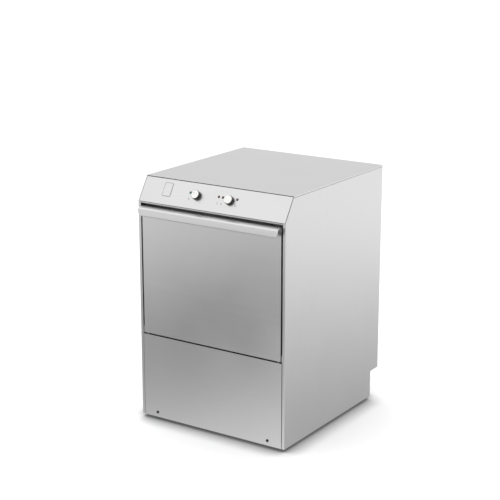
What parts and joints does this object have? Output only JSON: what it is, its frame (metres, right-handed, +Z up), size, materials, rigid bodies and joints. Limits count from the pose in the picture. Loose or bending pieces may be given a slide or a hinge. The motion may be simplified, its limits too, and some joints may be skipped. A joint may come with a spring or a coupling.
{
  "type": "commercial dishwasher",
  "caption": "Undercounter stainless steel dishwasher with a drop-down door, a sloping control fascia and a full-width bar handle.",
  "frame": {"origin": "centre of the footprint on the floor, under the feet", "axes": "+Z up; the front with the door faces -Y; +X to the right as seen from the front"},
  "size_m": [0.47, 0.53, 0.687],
  "materials": {
    "satin_steel": "satin brushed stainless steel",
    "bright_steel": "bright drawn stainless steel",
    "zinc_steel": "dull zinc-plated steel",
    "black_plastic": "glossy black moulding",
    "grey_plastic": "moulded grey polypropylene",
    "white_plastic": "satin white moulding",
    "rack_plastic": "moulded blue polypropylene",
    "rubber": "black extruded rubber",
    "motor_paint": "dark powder coat over aluminium",
    "brass": "plain machined brass",
    "green_lens": "green indicator lens",
    "red_lens": "red indicator lens"
  },
  "bodies": {
    "cabinet": {"side_panel_left": "satin_steel", "side_panel_right": "satin_steel", "top_panel": "satin_steel", "back_panel": "zinc_steel", "rear_step_panel": "zinc_steel", "base_pan": "zinc_steel", "lower_front_panel": "satin_steel", "control_fascia": "satin_steel", "header_rail": "satin_steel", "front_frame": "satin_steel", "hinge_pin_left": "bright_steel", "hinge_pin_right": "bright_steel", "door_gasket": "rubber", "door_spring_left": "zinc_steel", "door_spring_right": "zinc_steel", "power_switch_body": "grey_plastic", "start_switch_body": "black_plastic", "pilot_lamp_power": "green_lens", "pilot_lamp_water": "red_lens", "pilot_lamp_heat": "red_lens", "pilot_lamp_cycle": "red_lens", "chamber_wrapper": "satin_steel", "chamber_back": "satin_steel", "tank_sump": "satin_steel", "filter_plate": "bright_steel", "sump_strainer": "bright_steel", "tank_heater": "bright_steel", "wash_arm_hub_lower": "grey_plastic", "wash_arm_hub_upper": "grey_plastic", "rack_rail_left": "satin_steel", "rack_rail_right": "satin_steel", "pump_housing": "grey_plastic", "pump_motor": "motor_paint", "suction_hose": "rubber", "delivery_hose": "rubber", "upper_feed_pipe": "bright_steel", "drain_pipe": "grey_plastic", "rinse_boiler": "bright_steel", "inlet_valve": "brass", "cable_gland": "black_plastic", "rinse_aid_pump": "white_plastic", "control_board_box": "grey_plastic"},
    "door": {"door_outer_skin": "satin_steel", "door_handle": "bright_steel", "door_inner_liner": "satin_steel", "hinge_arm_left": "zinc_steel", "hinge_arm_right": "zinc_steel"},
    "rack": {"rack": "rack_plastic"},
    "lower_wash_arm": {"lower_wash_arm": "bright_steel"},
    "lower_rinse_arm": {"lower_rinse_arm": "bright_steel"},
    "upper_wash_arm": {"upper_wash_arm": "bright_steel"},
    "upper_rinse_arm": {"upper_rinse_arm": "bright_steel"},
    "pump_impeller": {"pump_impeller": "black_plastic"},
    "power_knob": {"power_knob": "black_plastic"},
    "start_button": {"start_button": "white_plastic"},
    "overflow_pipe": {"overflow_pipe": "grey_plastic"},
    "foot_front_left": {"foot_front_left": "black_plastic"},
    "foot_front_right": {"foot_front_right": "black_plastic"},
    "foot_rear_left": {"foot_rear_left": "black_plastic"},
    "foot_rear_right": {"foot_rear_right": "black_plastic"}
  },
  "joints": [
    {"name": "door_hinge", "type": "hinge", "parent": "cabinet", "child": "door", "pos_m": [0, -0.237, 0.2585], "axis": [1, 0, 0], "range_deg": [0, 90], "deforming": ["door_spring_left", "door_spring_right"]},
    {"name": "rack_slide", "type": "slide", "parent": "cabinet", "child": "rack", "axis": [0, -1, 0], "range_m": [0, 0.126]},
    {"name": "lower_wash_arm_spin", "type": "hinge", "parent": "cabinet", "child": "lower_wash_arm", "pos_m": [0, 0, 0.31], "axis": [0, 0, 1], "continuous": true},
    {"name": "lower_rinse_arm_spin", "type": "hinge", "parent": "cabinet", "child": "lower_rinse_arm", "pos_m": [0, 0, 0.31], "axis": [0, 0, 1], "continuous": true},
    {"name": "upper_wash_arm_spin", "type": "hinge", "parent": "cabinet", "child": "upper_wash_arm", "pos_m": [0, 0, 0.6], "axis": [0, 0, 1], "continuous": true},
    {"name": "upper_rinse_arm_spin", "type": "hinge", "parent": "cabinet", "child": "upper_rinse_arm", "pos_m": [0, 0, 0.6], "axis": [0, 0, 1], "continuous": true},
    {"name": "impeller_spin", "type": "hinge", "parent": "cabinet", "child": "pump_impeller", "pos_m": [-0.03, 0, 0.095], "axis": [0, 1, 0], "continuous": true},
    {"name": "power_turn", "type": "hinge", "parent": "cabinet", "child": "power_knob", "pos_m": [-0.055, -0.2245, 0.655], "axis": [0, 0.842, -0.5394], "range_deg": [0, 90]},
    {"name": "start_press", "type": "slide", "parent": "cabinet", "child": "start_button", "axis": [0, 0.842, -0.5394], "range_m": [0, 0.003], "stiffness_N_per_m": 400, "springref_m": -0.002},
    {"name": "overflow_lift", "type": "slide", "parent": "cabinet", "child": "overflow_pipe", "axis": [0, 0, 1], "range_m": [0, 0.025]},
    {"name": "foot_front_left_screw_out", "type": "slide", "parent": "cabinet", "child": "foot_front_left", "axis": [0, 0, -1], "range_m": [0, 0.025]},
    {"name": "foot_front_right_screw_out", "type": "slide", "parent": "cabinet", "child": "foot_front_right", "axis": [0, 0, -1], "range_m": [0, 0.025]},
    {"name": "foot_rear_left_screw_out", "type": "slide", "parent": "cabinet", "child": "foot_rear_left", "axis": [0, 0, -1], "range_m": [0, 0.025]},
    {"name": "foot_rear_right_screw_out", "type": "slide", "parent": "cabinet", "child": "foot_rear_right", "axis": [0, 0, -1], "range_m": [0, 0.025]}
  ],
  "couplings": [
    {"joint": "rack_slide", "follows": "door_hinge", "m_per_rad": 0.08}
  ]
}
